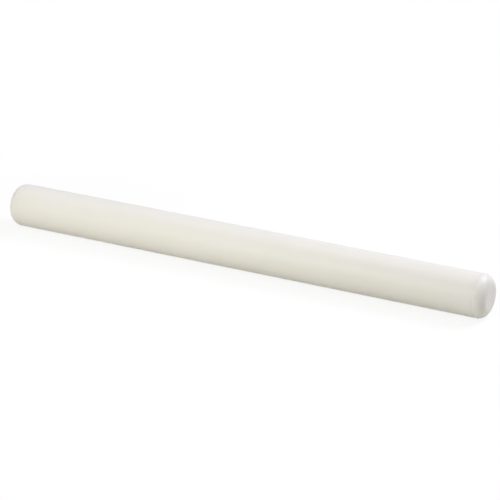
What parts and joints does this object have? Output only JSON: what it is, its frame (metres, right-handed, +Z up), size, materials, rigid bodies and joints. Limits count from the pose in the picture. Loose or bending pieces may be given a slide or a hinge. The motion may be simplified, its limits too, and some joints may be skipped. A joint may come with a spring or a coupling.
{
  "type": "fondant rolling pin",
  "caption": "Straight handle-less rolling pin for fondant: a smooth white tube with broad rounded rims and flat end faces, closed at each end by a pressed-in cap.",
  "frame": {"origin": "on the worktop, straight below the middle of the pin's length and axis", "axes": "+X along the pin towards its right end, which is the near end in the picture; +Z up from the worktop; +Y away from the viewer"},
  "size_m": [0.508, 0.042, 0.042],
  "materials": {
    "barrel": "satin",
    "end_cap": "satin"
  },
  "bodies": {
    "root": {"barrel_tube": "barrel", "end_cap_right": "end_cap", "end_cap_left": "end_cap"}
  },
  "joints": []
}
